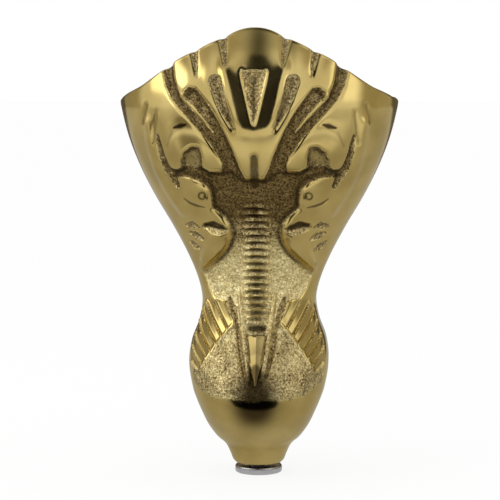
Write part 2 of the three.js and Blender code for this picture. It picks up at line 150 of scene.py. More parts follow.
def front_point(height, share, inset=0.0):
    """The plain body's front: x, y and the run along it, for arrays of heights and shares."""
    t = np.linspace(0, np.pi / 2, QUARTER_STEPS + 1)
    w = half_width(height)[..., None] - inset
    f = front_depth(height)[..., None] - inset
    c = widest_at(height)[..., None]
    x, y = w * np.sin(t), c - (c + f) * np.cos(t)
    steps = np.hypot(np.diff(x), np.diff(y))
    run = np.concatenate([np.zeros_like(steps[..., :1]), np.cumsum(steps, -1)], -1)
    wanted = share * run[..., -1]
    i = np.clip((run <= wanted[..., None]).sum(-1) - 1, 0, QUARTER_STEPS - 1)[..., None]

    def pick(values, j):
        return np.take_along_axis(values, j, -1)[..., 0]

    part = (wanted - pick(run, i)) / (pick(run, i + 1) - pick(run, i))

    def blend(values):
        return pick(values, i) + (pick(values, i + 1) - pick(values, i)) * part

    return blend(x), blend(y), wanted


def smooth(x):
    x = np.clip(x, 0, 1)
    return x * x * (3 - 2 * x)


def stroke(points, a, z):
    """How far each (a, z) is from the stroke's middle line, in shares of its radius there."""
    least = np.full(a.shape, np.inf)
    for (a0, z0, r0), (a1, z1, r1) in zip(points, points[1:]):
        da, dz = a1 - a0, z1 - z0
        t = np.clip(((a - a0) * da + (z - z0) * dz) / (da * da + dz * dz), 0, 1)
        least = np.minimum(least, np.hypot(a - a0 - da * t, z - z0 - dz * t) / (r0 + (r1 - r0) * t))
    return least


def inside(outline, a, z):
    """Distance inside an outline, negative outside it."""
    least = np.full(a.shape, np.inf)
    odd = np.zeros(a.shape, bool)
    for (a0, z0), (a1, z1) in zip(outline, outline[1:] + outline[:1]):
        da, dz = a1 - a0, z1 - z0
        t = np.clip(((a - a0) * da + (z - z0) * dz) / (da * da + dz * dz), 0, 1)
        least = np.minimum(least, np.hypot(a - a0 - da * t, z - z0 - dz * t))
        if dz:
            odd ^= ((z0 > z) != (z1 > z)) & (a < a0 + ((z - z0) / dz) * da)
    return np.where(odd, least, -least)


def spread(values, passes):
    """A grid of values, softened by so many passes."""
    for _ in range(passes):
        padded = np.pad(values, 1, "edge")
        values = (
            padded[:-2, 1:-1] + padded[2:, 1:-1] + padded[1:-1, :-2] + padded[1:-1, 2:]
        ) / 4
    return values


def hollow(share):
    return np.maximum(1 - share**2, 0)


def vee(share):
    return np.maximum(1 - share, 0)


def dome(share):
    return smooth(1 - share)


def above(value, level, fade):
    return smooth((value - level) / fade)


def below(value, level, fade):
    return smooth((level - value) / fade)


def step_across(distance, width, lead):
    """Rises from 0 to 1 across an outline, over a width, with the share lead of it outside."""
    return smooth(distance / width + lead)


# The carving's forms. A stroke is a middle line of (run, height, radius), an outline is a ring of
# (run, height), and what follows a form is how far it stands out or is sunk.
LOBES = [
    ([(0, 190, 12), (0, 172, 12)], 0.9),
    ([(18.5, 178, 6.3), (16.8, 165, 6), (13, 150, 4)], 0.5),
    ([(31, 172, 6.3), (27.5, 160, 6), (22, 150, 4)], 0.6),
]
BULGES = [
    ([(22, 131, 11), (30, 130, 11)], 1.0),
    ([(23, 115, 9), (27, 112, 9)], 1.8),
    ([(13.5, 100, 4.5), (17, 94, 6), (21, 88, 5), (25.5, 82.5, 1)], 2.2),
    ([(32, 108, 4), (39, 117, 4), (43.5, 125, 4), (46, 135, 4), (47, 143, 3)], 1.0),
    ([(14, 45.5, 11), (15, 41, 11)], 1.2),
]
BULGE_REACH = 0.9
PETAL = [
    (-12.4, 165), (-10.3, 157), (-8.8, 150), (-7.4, 144.4), (-5, 141.2), (0, 140.2), (5, 141.2),
    (7.4, 144.4), (8.8, 150), (10.3, 157), (12.4, 165), (12.4, 190), (-12.4, 190),
]
PETAL_HEIGHT = 0.3
PETAL_EDGE = 1.4
PETAL_FLATNESS = 0.0072
PETAL_FLAT_BELOW = (170, 8)
ARCH = (
    [
        (18, 139, 1.5), (23, 141.2, 2.6), (29, 142, 3.4), (33, 140.3, 3), (36.5, 136.5, 2.2),
        (38.5, 132, 1.2),
    ],
    0.3,
)
FORM_SOFTENING = 5

GROUND = [
    (-6, 119.8), (4.5, 120.6), (9.5, 124.2), (13, 123.6), (18, 123.6), (21.4, 125.6), (21.2, 130),
    (22.2, 133.4), (25, 133.6), (28, 131.3), (29.5, 128), (29.6, 125.4), (32, 124.1), (35.4, 124.2),
    (35, 121.3), (31, 122.2), (27, 122.1), (22, 121), (19.3, 119.2), (18.1, 117), (17.6, 113),
    (17.5, 109), (15.5, 107.2), (12.8, 105.3), (10.6, 102.5), (9.9, 99.5), (10, 97), (11, 94),
    (13, 91), (16, 88.3), (20, 85.3), (25.5, 82), (22, 76), (18, 71.8), (12, 71.5), (8.6, 66),
    (8.6, 62.5), (14, 57), (19, 50.5), (24, 45), (34, 42), (34, 28), (-6, 24),
]
GROUND_WALL = (2.8, 0.5)
GROUND_CAST = (0.9, 0.7)
GROUND_BROWN = (1.2, 0.5)
GROUND_LEVELS_FORMS = (60, 20)
KEYHOLE_ABOVE, KEYHOLE_BEYOND = (124.6, 2), (19.6, 1.4)
OVER_HEAD_ABOVE, OVER_HEAD_BEYOND = (116, 4), (15, 4)
# Painted shade in a band along the ground's edge, and inside the keyhole.
EDGE_SHADE_AT, EDGE_SHADE_WIDTH = 0.8, 1.7
EDGE_SHADE_ABOVE = (82, 6)
EDGE_SHADE, KEYHOLE_DARK = 0.85, 0.5
SHALLOWER_OVER_HEAD = 0.35
ground_depth = profile([
    (30, 0), (38, 0.2), (60, 0.5), (72, 0.6), (84, 1.2), (95, 1.6), (105, 1.8), (135, 1.8),
])
cast_foot = profile([(0, 32), (9, 32), (18, 32.5), (27, 34.5), (34, 38)])
CAST_FADE = 9
# How brown the sunk ground is at each height: partly brown patina, partly painted shade between the
# heads and over the crest, and a painted highlight at the waist, where it is least.
ground_tarnish = profile([
    (30, 0.1), (37, 0.34), (46, 0.3), (56, 0.26), (66, 0.08), (74, -0.1), (86, -0.05), (94, 0.25),
    (101, 0.65), (107, 1), (122, 1), (132, 1), (145, 0.95), (156, 0.8),
])

CHANNEL = [
    (3.8, 120.5), (6.2, 125), (7.9, 130), (10, 135), (12.3, 140), (15, 145), (18.3, 150), (21.3, 154),
    (23.3, 156.4), (25.6, 156.6), (27.3, 155.2), (28.5, 152.3), (30.2, 154), (31.5, 156.5),
    (32.7, 160), (33.7, 168), (37.8, 168), (37.4, 163), (35.9, 157.5), (33.2, 152.8), (30, 149.3),
    (25.8, 145), (22.3, 141.4), (18.8, 138), (15.6, 134), (13.2, 130), (12, 127), (12.6, 123.4),
    (9, 119),
]
CHANNEL_DEPTH = 1.7
CHANNEL_WALL = (2.4, 0.45)
CHANNEL_CAST = (1.4, 0.9)
CHANNEL_BROWN = (1.4, 1.2)
CHANNEL_RIDGE = (
    [(29.4, 153.6, 1.1), (25.4, 149.6, 1.1), (20.4, 144.6, 0.9), (16.4, 139.6, 0.4)],
    1.3,
)

SPINE = ([(0, 112, 6), (0, 100, 6.2), (0, 76, 6), (0, 62, 4.8)], 1.2)
SPINE_TOP = 113
SPINE_FOOT = 62.6
SPINE_START = 118
RIB_COUNT = 18
RIB_HEIGHT = 1.4
RIB_ARCH = 0.035
RIB_SHARPNESS = 1.6
RIB_FADES = (4, 2)
# Painted shade in the ribs' valleys, and a painted black reflection over the claw.
RIB_DARK, KEEL_DARK = 1.1, 0.7
RAIL = (
    [(7.4, 74, 0.5), (6.1, 66, 1.2), (5.1, 58, 1.4), (4, 50, 1.3), (2.5, 41, 0.9)],
    1.4,
)
CLAW = [(-4.6, 66), (4.6, 66), (3.1, 50), (0, 38), (-3.1, 50)]
CLAW_TOP = (58.2, 1 / 1.5)
CLAW_HEIGHT = 0.5
CLAW_SLOPE = 0.45

FAN = [
    (9.2, 62.6), (14, 57), (19, 50.5), (23.5, 46), (27, 42.5), (33, 44), (34.5, 50), (32.5, 58),
    (30, 66), (26, 71), (19, 72), (12.6, 71.5),
]
FAN_FROM, FAN_TO = (9.2, 62.6), (27, 42.5)
FAN_EDGE = 1.5
FAN_BORDER = ([(*FAN_FROM, 0.9), (*FAN_TO, 0.9)], 0.6)
FEATHERS = 7
FEATHER_HEIGHT = 1.2
FEATHER_RIDGE = 0.17
# Painted shade between the feathers' ridges.
FEATHER_DARK = 0.36
FAN_CAST = 0.2
FIRST_FEATHER_ANGLE, LAST_FEATHER_ANGLE = 1.08, 0.6

NOTCHES = [
    ([(12.4, 178, 2.3), (11, 165, 0.3)], 1.2),
    ([(24.2, 173.5, 2.1), (22.4, 161, 0.3)], 1.1),
]
FLUTES = [
    ([(15, 159.3, 2.9), (13, 152.5, 2.3), (10.5, 146.5, 1.5), (7.8, 140.7, 0.3)], 2.0),
]
CRESCENT = (
    [(41.6, 138, 0.8), (40.2, 131, 1.7), (38.2, 126, 2.2), (35.8, 122.6, 2.3), (32.8, 118, 1.4)],
    1.2,
)
DENTS = [
    ([(24.2, 101, 0.7), (27.5, 101.8, 2), (31, 101.4, 0.8)], 0.7),
    ([(22.6, 96.2, 0.7), (26, 97.4, 2), (29.6, 98.4, 0.8)], 0.7),
    ([(24.4, 91.6, 0.7), (27.6, 93, 1.8), (31, 94.6, 0.7)], 0.6),
    ([(8.4, 64.4, 0.8), (10, 68, 1.9), (11.6, 72, 1)], 1.0),
    ([(9, 66, 0.7), (7.6, 58, 1.1), (6.2, 50, 1.1), (4.2, 42, 0.7)], 0.9),
]
FLUTE_BROWN, DENT_BROWN, CRESCENT_BROWN = 0.55, 0.5, 0.85
SINK_EDGE = 1.1
CREST_FOOT = (139, 1)
# Painted shade along the rims of the crest's flutes and notches.
RIM_AT, RIM_WIDTH, RIM_DARK = 0.85, 0.3, 0.6
CENTRE_FLUTE = [(-5.4, 164), (5.4, 164), (0.2, 142), (-0.2, 142)]
CENTRE_FLUTE_SLOPE = 0.9
CENTRE_FLUTE_BROWN = 0.35

NOSTRIL = [
    (10.4, 100.4), (13, 102.8), (17.6, 103.8), (22.6, 102.6), (22.4, 100.4), (18, 98.8), (13.4, 98.8),
]
NOSTRIL_DEPTH = 1.1
NOSTRIL_WALL = (1.2, 0.3)
NOSTRIL_SLOPE = (98.6, 3)
NOSTRIL_CAST_BELOW = (102.4, 1)
# Painted shade in the nostril's upper part, under its steep upper wall.
NOSTRIL_DARK_ABOVE = (100.2, 1.2)
NOSTRIL_BROWN, NOSTRIL_DARK = 0.4, 1.2
EYE = (21, 115)
EYE_RADIUS = 1.3
EYE_DEPTH = 0.2
# Painted shade in the eye's ring.
EYE_DARK = 0.9
LEAF_CUT = ([(0, 129.5, 2), (0, 118.5, 2.6)], 0.7)
# Painted shade on the floor of the leaf's cut.
LEAF_CAST, LEAF_DARK = 0.5, 0.9
# Each cut's depth is followed by how much painted shade it gets.
CUTS = [
    ([(29.5, 113.6, 0.5), (26.5, 111.7, 1.1), (23.5, 110.5, 1.1), (20.5, 109.8, 0.5)], 0.8, 0.9),
    ([(-2.4, 60.6, 2.6), (2.4, 60.6, 2.6)], 0.9, 1.2),
    ([(47, 149.8, 1.7), (50, 143, 1.3)], 0.4, 0.5),
    ([(41.6, 147, 1.2), (42.6, 141, 2), (43.8, 135, 1.2)], 0.5, 0.5),
]
# Of each mark of painted black reflection beside the arch, how strong it is.
BESIDE_ARCH = [
    ([(27.4, 142.6, 0.7), (29.8, 142, 1.9), (33, 141.2, 0.8)], 1.4),
    ([(34, 139.6, 1.6), (36.4, 134, 1.4)], 0.45),
]
# Painted shade under the claw, on the ball, and along the collar's fold.
UNDER_CLAW = ([(0, 31.5, 17), (0, 36, 14), (0, 45, 5)], 1.3)
COLLAR_LINE, COLLAR_LINE_WIDTH, COLLAR_DARK = 11.5, 1.4, 0.3
CARVING_SOFTENING = 2


def feather(a, z):
    """Which feather of the fan (a, z) lies on, counted from the spine, as a fraction."""
    (a0, z0), (da, dz) = FAN_FROM, (FAN_TO[0] - FAN_FROM[0], FAN_TO[1] - FAN_FROM[1])
    share = np.full(a.shape, 0.5)
    for _ in range(4):
        angle = FIRST_FEATHER_ANGLE + (LAST_FEATHER_ANGLE - FIRST_FEATHER_ANGLE) * share
        c, s = np.cos(angle), np.sin(angle)
        off = (a - a0 - da * share) * s - (z - z0 - dz * share) * c
        share = np.clip(share + off / (da * s - dz * c), 0, 1)
    return share * FEATHERS


class Carving:
    """Over the plain body: the height, how much is left as cast, how brown it is, and how much painted
    shade it has.

    It is made in the order of its methods, from the raised forms to the painted shade marks.
    """

    def __init__(self, run, z):
        self.run, self.a, self.z = run, np.abs(run), z
        self.height = np.zeros_like(run)
        self.crisp = np.zeros_like(run)
        self.sink = np.zeros_like(run)

    def raised_forms(self):
        """The lobes, the domes and heads, and the petal over them all, polished and softly rounded."""
        a, z, height = self.a, self.z, self.height
        for form, rise in LOBES:
            height = np.maximum(height, rise * hollow(stroke(form, a, z)))
        for form, rise in BULGES:
            height += rise * dome(stroke(form, a, z) * BULGE_REACH)
        flat = PETAL_FLATNESS * a**2 * below(z, *PETAL_FLAT_BELOW)
        height += (PETAL_HEIGHT + flat) * step_across(inside(PETAL, self.run, z), PETAL_EDGE, 1)
        height -= ARCH[1] * dome(stroke(ARCH[0], a, z))
        self.height = spread(height, FORM_SOFTENING)

    def sunk_ground(self):
        """The ground round the heads, the spine and the claw, with painted shade along its edge and in
        the keyhole.
        """
        a, z = self.a, self.z
        field = inside(GROUND, a, z)
        ground = step_across(field, *GROUND_WALL)
        behind_eye = above(z, *KEYHOLE_ABOVE) * above(a, *KEYHOLE_BEYOND)
        over_head = above(z, *OVER_HEAD_ABOVE) * above(a, *OVER_HEAD_BEYOND)
        keyhole = behind_eye * ground
        edge_shade = dome(np.abs(field - EDGE_SHADE_AT) / EDGE_SHADE_WIDTH) * above(z, *EDGE_SHADE_ABOVE)
        self.height *= 1 - ground * above(z, *GROUND_LEVELS_FORMS)
        self.height -= ground_depth(z) * ground * (1 - SHALLOWER_OVER_HEAD * over_head)
        # Painted shade along the ground's edge and inside the keyhole.
        self.painted_shade = np.maximum(EDGE_SHADE * edge_shade * (1 - 0.3 * behind_eye), KEYHOLE_DARK * keyhole)
        width, lead = GROUND_CAST
        self.cast = step_across(field, width, lead + 0.6 * over_head) * (1 - 0.5 * keyhole)
        self.cast *= above(z, cast_foot(a) - CAST_FADE / 3, CAST_FADE)
        width, lead = GROUND_BROWN
        self.brown = step_across(field, width, lead + 0.7 * over_head)
        self.brown *= ground_tarnish(z) * (1 - 0.4 * keyhole)

    def channels(self):
        """The channel on each side of the palmette, parted at its upper end by a ridge."""
        a, z = self.a, self.z
        channel = inside(CHANNEL, a, z)
        lowered = step_across(channel, *CHANNEL_WALL)
        sunk = self.height * (1 - lowered) - CHANNEL_DEPTH * lowered
        self.height = np.where(channel > -1, np.minimum(self.height, sunk), self.height)
        self.cast = np.maximum(self.cast, step_across(channel, *CHANNEL_CAST))
        self.brown = np.maximum(self.brown, step_across(channel, *CHANNEL_BROWN) * ground_tarnish(z))
        ridge = dome(stroke(CHANNEL_RIDGE[0], a, z))
        self.height += CHANNEL_RIDGE[1] * ridge
        polished = 1 - smooth(ridge * 1.5)
        self.cast *= polished
        self.brown *= polished

    def spine_and_claw(self):
        """The ribbed spine between its two rails, down to the claw on the ball."""
        a, z = self.a, self.z
        spine = np.clip(stroke(SPINE[0], a, z), 0, 1)
        top_fade, foot_fade = RIB_FADES
        ribs = below(z, SPINE_TOP, top_fade) * above(z, SPINE_FOOT, foot_fade) * (1 - spine**2)
        turn = (z + RIB_ARCH * a * a - SPINE_FOOT) / (SPINE_TOP - SPINE_FOOT) * RIB_COUNT
        rib = ((1 + np.cos(2 * np.pi * turn)) / 2) ** RIB_SHARPNESS
        self.height += np.where(z < SPINE_START, SPINE[1] * (1 - spine**4), 0)
        self.crisp += RIB_HEIGHT * (rib - 0.4) * ribs
        # Painted shade in the ribs' valleys, and a painted highlight on their tops, which are made
        # less brown.
        self.painted_shade = np.maximum(self.painted_shade, RIB_DARK * ribs * (1 - rib) ** 2.4)
        self.brown *= 1 - 0.35 * ribs * rib
        self.height += RAIL[1] * hollow(stroke(RAIL[0], a, z))
        claw = inside(CLAW, a, z)
        keel = np.where(claw > 0, below(z, *CLAW_TOP), 0)
        self.crisp += keel * (claw * CLAW_SLOPE + CLAW_HEIGHT)
        # A painted black reflection over the claw.
        self.painted_shade = np.maximum(self.painted_shade, KEEL_DARK * keel)
        self.cast *= 1 - keel * step_across(claw, 1, 0.5)

    def fans(self):
        """A fan of feathers on each side of the spine, over the ball."""
        a, z = self.a, self.z
        inner = smooth(inside(FAN, a, z) / FAN_EDGE)
        vane = feather(a, z) % 1
        ridge = dome(np.minimum(vane, 1 - vane) / FEATHER_RIDGE)
        self.crisp += FEATHER_HEIGHT * (0.7 * ridge - 0.4 * vane) * inner
        # Painted shade between the feathers' ridges.
        self.painted_shade = np.maximum(self.painted_shade, inner * FEATHER_DARK * (1 - ridge))
        self.height += FAN_BORDER[1] * dome(stroke(FAN_BORDER[0], a, z))
        self.cast = self.cast * (1 - inner) + FAN_CAST * inner
        self.brown *= 1 - inner

    def cut_in(self, depth, cast=0, brown=0, painted_shade=0):
        self.sink = np.maximum(self.sink, depth)
        self.cast = np.maximum(self.cast, cast)
        self.brown = np.maximum(self.brown, brown)
        self.painted_shade = np.maximum(self.painted_shade, painted_shade)

    def flutes_and_dents(self):
        """The notches and flutes of the crest, the crescents behind the heads, and the small dents."""
        a, z = self.a, self.z
        for form, depth, shape, brown in (
            [(form, depth, vee, FLUTE_BROWN) for form, depth in FLUTES + NOTCHES]
            + [(form, depth, dome, DENT_BROWN) for form, depth in DENTS]
            + [(*CRESCENT, dome, CRESCENT_BROWN)]
        ):
            share = stroke(form, a, z)
            # Painted shade along the rim of each sunk form on the crest.
            rim = dome(np.abs(share - RIM_AT) / RIM_WIDTH) * above(z, *CREST_FOOT)
            self.cut_in(
                depth * shape(share),
                cast=smooth((SINK_EDGE - share) * 3),
                brown=brown * smooth((SINK_EDGE - share) * 2),
                painted_shade=RIM_DARK * rim,
            )
        middle = inside(CENTRE_FLUTE, a, z)
        floor = smooth(middle * 3)
        depth = CENTRE_FLUTE_SLOPE * np.maximum(middle, 0)
        self.cut_in(depth, cast=floor, brown=CENTRE_FLUTE_BROWN * floor)

    def heads(self):
        """The nostril, the eye and the mouth of each head, and the leaf's cut between them."""
        a, z = self.a, self.z
        nostril = step_across(inside(NOSTRIL, a, z), *NOSTRIL_WALL)
        # The nostril's upper part gets painted shade.
        self.cut_in(
            NOSTRIL_DEPTH * nostril * above(z, *NOSTRIL_SLOPE),
            cast=nostril * below(z, *NOSTRIL_CAST_BELOW),
            brown=NOSTRIL_BROWN * nostril,
            painted_shade=NOSTRIL_DARK * nostril * above(z, *NOSTRIL_DARK_ABOVE),
        )
        # Each cut, the leaf's cut and the eye's ring get painted shade.
        for form, depth, painted_shade in CUTS:
            share = dome(stroke(form, a, z))
            self.cut_in(depth * share, painted_shade=painted_shade * share)
        leaf = stroke(LEAF_CUT[0], a, z)
        floor = smooth((1 - leaf) * 2)
        self.cut_in(LEAF_CUT[1] * hollow(leaf), cast=LEAF_CAST * floor, painted_shade=LEAF_DARK * floor)
        ring = hollow(np.abs(np.hypot(a - EYE[0], z - EYE[1]) / EYE_RADIUS - 1) * 2)
        self.cut_in(EYE_DEPTH * ring, painted_shade=EYE_DARK * ring)

    def painted_shade_marks(self):
        """Painted light: a painted black reflection beside the arch, and painted shade under the claw
        and round the collar.
        """
        a, z = self.a, self.z
        for form, painted_shade in [*BESIDE_ARCH, UNDER_CLAW]:
            self.cut_in(0, painted_shade=painted_shade * dome(stroke(form, a, z)))
        self.cut_in(0, painted_shade=COLLAR_DARK * dome(np.abs(z - COLLAR_LINE) / COLLAR_LINE_WIDTH))

    def relief(self):
        return spread(self.height - self.sink, CARVING_SOFTENING) + self.crisp


def loft(name, rings, **attributes):
    """A closed solid through rings that all have as many points, counted the same way round."""
    rows, count = rings.shape[:2]
    first = rings[0].mean(0)
    last = rings[-1].mean(0)
    points = np.concatenate([rings.reshape(-1, 3), [first, last]]) * MM
    i = np.arange(count)
    j = (i + 1) % count
    r = np.arange(rows - 1)[:, None] * count
    sides = np.stack([r + i, r + j, r + j + count, r + i + count], -1).reshape(-1, 4)
    top = (rows - 1) * count
    bottom_cap = np.stack([j, i, np.full(count, rows * count)], -1)
    top_cap = np.stack([top + i, top + j, np.full(count, rows * count + 1)], -1)
    mesh = bpy.data.meshes.new(name)
    faces = sides.tolist() + bottom_cap.tolist() + top_cap.tolist()
    mesh.from_pydata(points.tolist(), [], faces)
    for key, values in attributes.items():
        full = np.concatenate([values.reshape(-1), [1, 1]]).astype(np.float32)
        mesh.attributes.new(key, "FLOAT", "POINT").data.foreach_set("value", full)
    piece = bpy.data.objects.new(name, mesh)
    bpy.context.scene.collection.objects.link(piece)
    return piece


def side_points(height, steps, inset, back):
    """From the widest point round the squared back to its middle."""
    t = (np.arange(1, steps + 1) / steps) * (np.pi / 2)
    height = height[:, None]
    power = 2 / back_squareness(height)
    c = widest_at(height)
    x = (half_width(height) - inset) * np.cos(t) ** power
    y = c + (back(height) - c) * np.sin(t) ** power
    return x, y, np.broadcast_to(height, x.shape)


FRONT_COLUMNS = 140
COLUMN_CROWDING = 0.1
BACK_COLUMNS = 7
BALL_ROWS = 24
CARVING_FOOT = 31
SHANK_ROWS = 192
CREST_ROWS = 98
EDGE_ROUND = 1.2
EDGE_ROWS = 4
CASTING_CREASE = 40 # degrees
RECESS_REACH = 6
RECESS_SHARE = 0.6

shares = np.linspace(0, 1, FRONT_COLUMNS + 1)
shares = shares * (1 - COLUMN_CROWDING) + shares**3 * COLUMN_CROWDING
lower = np.concatenate([
    np.linspace(UNDERSIDE, CARVING_FOOT, BALL_ROWS, endpoint=False),
    np.linspace(CARVING_FOOT, FAN_OUT, SHANK_ROWS, endpoint=False),
])
reach = front_point(np.array(float(SEAT_HEIGHT)), np.array(1.0))[2]
rise = np.linspace(0, 1, CREST_ROWS + 1)[:, None]
crest = FAN_OUT + (edge_height(shares * reach) - EDGE_ROUND - FAN_OUT) * rise
heights = np.concatenate([np.repeat(lower[:, None], FRONT_COLUMNS + 1, 1), crest])
grid_share = np.broadcast_to(shares, heights.shape)
x, y, run = front_point(heights, grid_share)
plain = np.stack([x, y, heights], -1)
around = np.gradient(plain, axis=1)
upward = np.gradient(plain, axis=0)
outward = np.cross(around, upward)
outward[:, 0, 0] = 0
outward /= np.linalg.norm(outward, axis=-1, keepdims=True)
carving = Carving(run, heights)
carving.raised_forms()
carving.sunk_ground()
carving.channels()
carving.spine_and_claw()
carving.fans()
carving.flutes_and_dents()
carving.heads()
carving.painted_shade_marks()
relief = carving.relief()
mirrored = np.concatenate([relief[:, :0:-1], relief], 1)
# Painted shade: darker where the relief lies in a hollow, and where the carving marks painted shade.
hollows = (spread(mirrored, RECESS_REACH) - mirrored)[:, FRONT_COLUMNS:]
recess = np.maximum(hollows, RECESS_SHARE * carving.painted_shade)
carved = plain + outward * relief[..., None]

# The top edge rolls over to the rim.
turns = (np.arange(1, EDGE_ROWS + 1) / EDGE_ROWS) * (np.pi / 2)
inward = outward[-1] * -EDGE_ROUND
rolls = [
    carved[-1] + inward * (1 - math.cos(t)) + np.array([0, 0, EDGE_ROUND * math.sin(t)])
    for t in turns
]
carved = np.concatenate([carved, np.array(rolls)])
ring_heights = np.concatenate([heights[:, -1], heights[-1, -1] + EDGE_ROUND * np.sin(turns)])
sx, sy, sz = side_points(ring_heights, BACK_COLUMNS, 0, back_depth)
sides = np.stack([sx, sy, sz], -1)
offset = carved[:, -1:, :] - np.stack(
    [half_width(ring_heights), widest_at(ring_heights), ring_heights], -1
)[:, None]
fade = 1 - np.arange(1, BACK_COLUMNS + 1) / BACK_COLUMNS
sides = sides + offset * fade[None, :, None]
right = np.concatenate([carved, sides], 1)
left = right[:, -2:0:-1] * np.array([-1, 1, 1])
rings = np.concatenate([right, left], 1)


def all_round(front):
    """The front's values carried over the rolled edge, and round the back."""
    front = np.concatenate([front, np.repeat(front[-1:], EDGE_ROWS, 0)])
    half = np.concatenate([front, np.repeat(front[:, -1:], BACK_COLUMNS, 1)], 1)
    return np.concatenate([half, half[:, -2:0:-1]], 1)


casting = loft(
    "carved_casting", rings,
    grain=all_round(carving.cast), recess=all_round(recess), tarnish=all_round(carving.brown),
)


CORE_ROWS = 40
CORE_COLUMNS = 25
CORE_BACK_COLUMNS = 6
CORE_BROWN = 0.6
CLEARANCE = 20 # how far a core or a slab reaches past what it cuts or fills


def open_back(height):
    return back_depth(height) + CLEARANCE


def core(name, inset, top):
    """The body's inside, from the toe up and out through the open back."""
    heights = np.linspace(CORE_FLOOR, top, CORE_ROWS)
    grid = np.repeat(heights[:, None], CORE_COLUMNS, 1)
    shares = np.broadcast_to(np.linspace(0, 1, CORE_COLUMNS), grid.shape)
    x, y, _ = front_point(grid, shares, inset)
    sx, sy, sz = side_points(heights, CORE_BACK_COLUMNS, inset, open_back)
    half = np.concatenate([np.stack([x, y, grid], -1), np.stack([sx, sy, sz], -1)], 1)
    rings = np.concatenate([half, half[:, -2:0:-1] * np.array([-1, 1, 1])], 1)
    ones = np.ones(rings.shape[:2])
    return loft(name, rings, grain=ones, recess=ones * 0, tarnish=ones * CORE_BROWN)


def select_only(piece):
    bpy.ops.object.select_all(action="DESELECT")
    piece.select_set(True)
    bpy.context.view_layer.objects.active = piece


def combine(piece, tool, operation):
    select_only(piece)
    step = piece.modifiers.new("combine", "BOOLEAN")
    step.operation = operation
    step.solver = "MANIFOLD"
    step.object = tool
    bpy.ops.object.modifier_apply(modifier=step.name)
    bpy.data.objects.remove(tool)


def rod(name, radius, low, high, y, sides=64):
    bpy.ops.object.select_all(action="DESELECT")
    bpy.ops.mesh.primitive_cylinder_add(
        vertices=sides,
        radius=radius * MM,
        depth=(high - low) * MM,
        location=(0, y * MM, (low + high) / 2 * MM),
    )
    piece = bpy.context.object
    piece.name = name
    bpy.ops.object.transform_apply()
    return piece


combine(casting, core("hollow", WALL, CREST_HEIGHT + CLEARANCE), "DIFFERENCE")
shelf = core("shelf", WALL / 2, CREST_HEIGHT)
bpy.ops.object.select_all(action="DESELECT")
bpy.ops.mesh.primitive_cube_add(
    size=MM,
    location=(0, (SHELF_BACK - SLAB_DEPTH / 2) * MM, (SEAT_HEIGHT - SHELF_THICKNESS / 2) * MM),
    scale=(SLAB_WIDTH, SLAB_DEPTH, SHELF_THICKNESS),
)
slab = bpy.context.object
bpy.ops.object.transform_apply()
combine(shelf, slab, "INTERSECT")
combine(casting, shelf, "UNION")
shelf_underside = SEAT_HEIGHT - SHELF_THICKNESS
stud_hole = rod(
    "stud_hole", STUD_HOLE_RADIUS, shelf_underside - DRILL_OVERRUN, SEAT_HEIGHT + DRILL_OVERRUN,
    -STUD_HOLE_FORWARD,
)
combine(casting, stud_hole, "DIFFERENCE")
bore = rod("bore", BORE_RADIUS, UNDERSIDE - DRILL_OVERRUN, CORE_FLOOR + DRILL_OVERRUN, 0)
combine(casting, bore, "DIFFERENCE")
select_only(casting)
bpy.ops.object.shade_smooth_by_angle(angle=math.radians(CASTING_CREASE))


class Socket:
    """A shader socket that takes part in sums."""

    def __init__(self, nodes, socket):
        self.nodes = nodes
        self.socket = socket

    def maths(self, operation, a, b=0.0):
        return self.nodes.add("ShaderNodeMath", {"operation": operation}, [a, b])

    def __add__(self, other):
        return self.maths("ADD", self, other)

    def __radd__(self, other):
        return self.maths("ADD", other, self)

    def __sub__(self, other):
        return self.maths("SUBTRACT", self, other)

    def __rsub__(self, other):
        return self.maths("SUBTRACT", other, self)

    def __mul__(self, other):
        return self.maths("MULTIPLY", self, other)

    def __rmul__(self, other):
        return self.maths("MULTIPLY", other, self)

    def __abs__(self):
        return self.maths("ABSOLUTE", self)

    def between(self, low, high):
        """A soft step that rises from 0 at the low value to 1 at the high one."""
        fraction = self.maths("DIVIDE", self.maths("SUBTRACT", self, low), high - low)
        held = self.maths("MINIMUM", self.maths("MAXIMUM", fraction, 0.0), 1.0)
        return held * held * (3.0 - 2.0 * held)


class Finish:
    """A material, with one way to add a node to it."""

    def __init__(self, name):
        self.material = bpy.data.materials.new(name)
        self.material.use_nodes = True
        self.tree = self.material.node_tree
        self.shader = self.tree.nodes["Principled BSDF"]
        self.output = self.tree.nodes["Material Output"]

    def add(self, kind, settings=None, inputs=None, output=0):
        node = self.tree.nodes.new(kind)
        for key, value in (settings or {}).items():
            setattr(node, key, value)
        pairs = inputs.items() if isinstance(inputs, dict) else enumerate(inputs or [])
        for key, value in pairs:
            self.feed(node.inputs[key], value)
        return Socket(self, node.outputs[output])

    def feed(self, target, value):
        if isinstance(value, Socket):
            self.tree.links.new(value.socket, target)
        else:
            target.default_value = value

    def place(self):
        return self.add("ShaderNodeTexCoord", output="Object")

    def attribute(self, name):
        return self.add("ShaderNodeAttribute", {"attribute_name": name}, output="Fac")

    def noise(self, place, scale, detail, roughness=0.5, distortion=0.0):
        values = {
            "Vector": place, "Scale": scale, "Detail": detail, "Roughness": roughness,
            "Distortion": distortion,
        }
        return self.add("ShaderNodeTexNoise", inputs=values)

    def mix(self, share, a, b):
        """Two colours, given as their red, green and blue or as sockets, mixed by a share."""
        pair = [colour if isinstance(colour, Socket) else (*colour, 1) for colour in (a, b)]
        values = {0: share, 6: pair[0], 7: pair[1]}
        return self.add("ShaderNodeMix", {"data_type": "RGBA"}, values, output=2)

    def bump(self, height, depth, strength=1.0):
        values = {"Strength": strength, "Distance": depth, "Height": height}
        self.feed(self.shader.inputs["Normal"], self.add("ShaderNodeBump", inputs=values))


